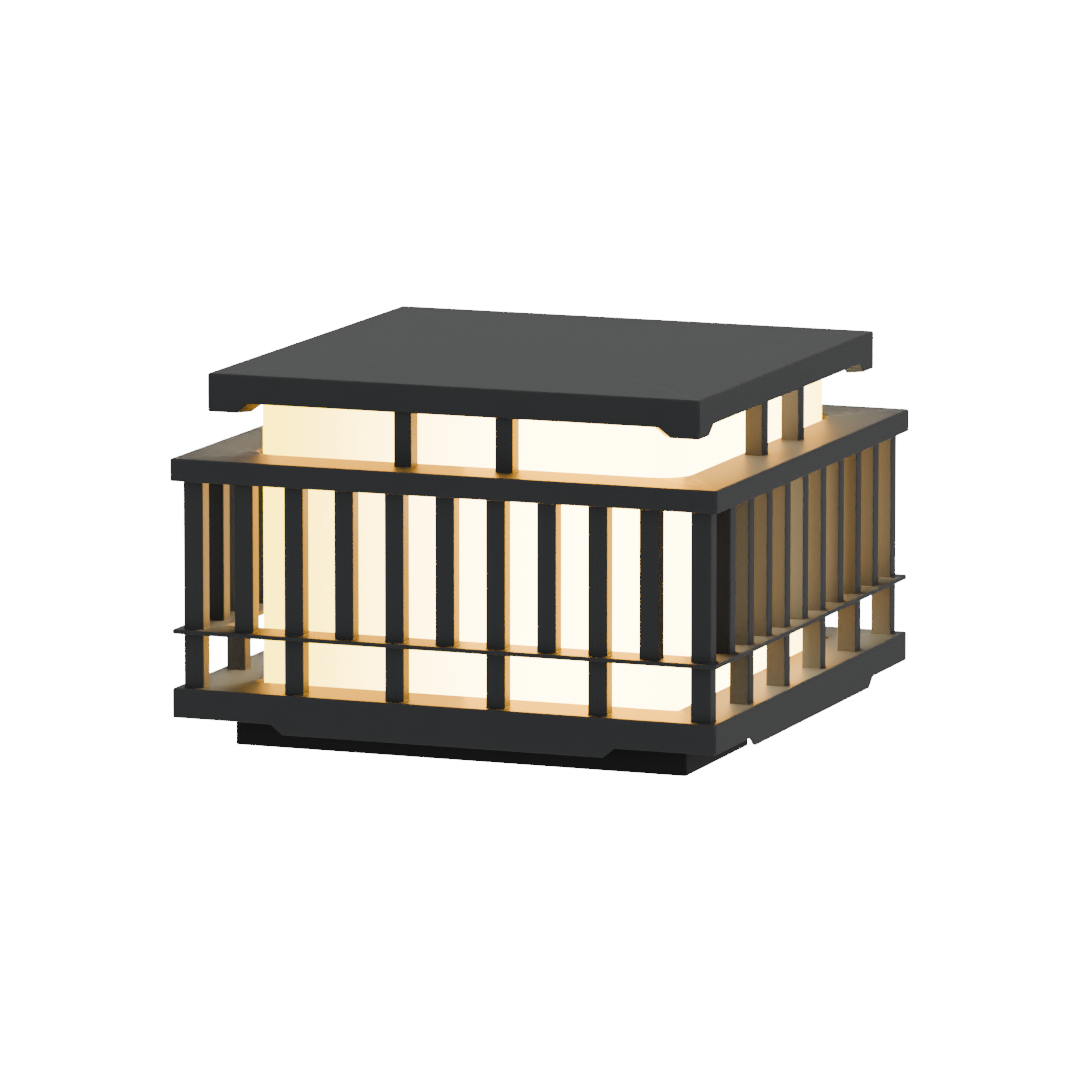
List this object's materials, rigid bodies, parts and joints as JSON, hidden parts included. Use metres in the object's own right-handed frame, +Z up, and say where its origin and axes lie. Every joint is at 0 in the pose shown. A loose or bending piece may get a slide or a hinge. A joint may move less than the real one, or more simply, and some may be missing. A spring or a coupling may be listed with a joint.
{
  "type": "pillar-head bollard light",
  "caption": "Square pillar-head lantern: dark barred cage and flat roof round a lit opal box, lifting off a mounting plate with bulb and holder.",
  "frame": {"origin": "centre of the foot on the top of the pillar", "axes": "X left to right, Y from the front to the back, Z up; the four sides are square to X and Y"},
  "size_m": [0.3, 0.3, 0.1958],
  "materials": {
    "dark_coat": "fine-textured near-black powder coat, satin",
    "foot_coat": "near-black powder coat, matt",
    "rubber_black": "matt black rubber",
    "screw_steel": "zinc-plated steel",
    "plated_steel": "zinc-plated sheet steel",
    "opal_acrylic": "opal acrylic, lit from within",
    "porcelain": "glazed white porcelain",
    "thread_brass": "plain brass",
    "terminal_plastic": "pale moulded plastic",
    "lead_brown": "smooth insulated lead",
    "lead_green": "smooth insulated lead",
    "cap_nickel": "bright nickel-plated thread",
    "contact_solder": "dull solder",
    "bulb_plastic": "white moulded plastic",
    "board_white": "white board",
    "bulb_opal": "opal plastic"
  },
  "bodies": {
    "mount": {"pillar_gasket": "rubber_black", "mounting_plate": "plated_steel", "cable_grommet": "rubber_black", "holder_bracket": "plated_steel", "bracket_screws": "screw_steel", "lampholder_body": "porcelain", "lampholder_shell": "thread_brass", "lampholder_contact": "thread_brass", "holder_screws": "screw_steel", "terminal_block": "terminal_plastic", "terminal_screws": "thread_brass", "earth_stud": "thread_brass", "earth_nut": "thread_brass", "holder_leads": "lead_brown", "earth_lead": "lead_green", "cord_clamp": "terminal_plastic", "clamp_screws": "screw_steel"},
    "bulb": {"bulb_cap": "cap_nickel", "bulb_contact": "contact_solder", "bulb_collar": "bulb_plastic", "bulb_board": "board_white", "bulb_globe": "bulb_opal"},
    "head": {"roof": "dark_coat", "roof_pad": "rubber_black", "small_posts": "dark_coat", "post_screws": "screw_steel", "middle_ledge": "dark_coat", "corner_posts": "dark_coat", "long_bars": "dark_coat", "short_bars": "dark_coat", "shelf": "dark_coat", "base_pan": "dark_coat", "foot_skirt": "foot_coat", "lock_nuts": "screw_steel", "lock_screws": "screw_steel", "diffuser": "opal_acrylic", "diffuser_gasket": "rubber_black", "clip_studs": "screw_steel", "diffuser_clips": "screw_steel", "clip_nuts": "screw_steel"}
  },
  "joints": [
    {"name": "head_lift", "type": "slide", "parent": "mount", "child": "head", "axis": [0, 0, 1], "range_m": [0, 0.16]},
    {"name": "bulb_unscrew", "type": "slide", "parent": "mount", "child": "bulb", "axis": [0, 0, 1], "range_m": [0, 0.032]}
  ]
}
